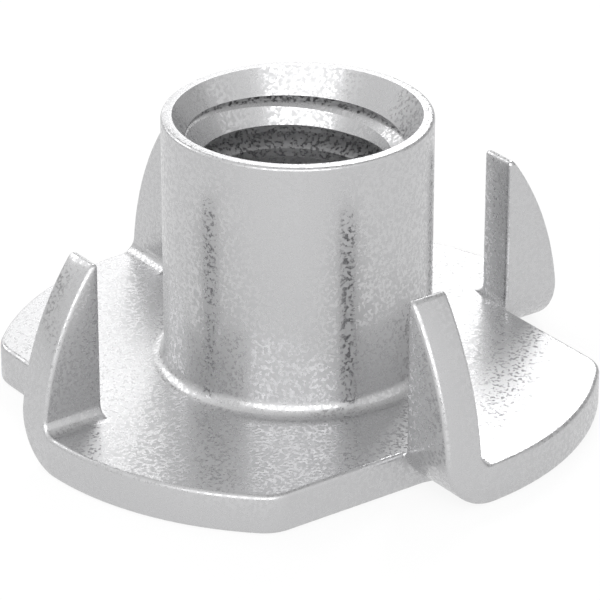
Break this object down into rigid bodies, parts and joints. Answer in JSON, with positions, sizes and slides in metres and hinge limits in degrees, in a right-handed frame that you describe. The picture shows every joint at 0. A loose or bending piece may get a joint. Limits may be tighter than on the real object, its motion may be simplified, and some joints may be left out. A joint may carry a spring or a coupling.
{
  "type": "pronged tee nut",
  "caption": "Pronged tee nut: a threaded steel barrel rising from a round flange whose rim is cut and folded up into pointed prongs that bite into wood.",
  "frame": {"origin": "centre of the flange's flat underside, on the barrel's axis", "axes": "+Z along the barrel from the flange to its mouth; a prong stands at each of -Y, +X, +Y and -X"},
  "size_m": [0.022, 0.022, 0.011],
  "materials": {
    "zinc_plated_steel": "bright zinc plating over rolled steel, satin with a fine grain"
  },
  "bodies": {
    "root": {"tee_nut": "zinc_plated_steel"}
  },
  "joints": []
}
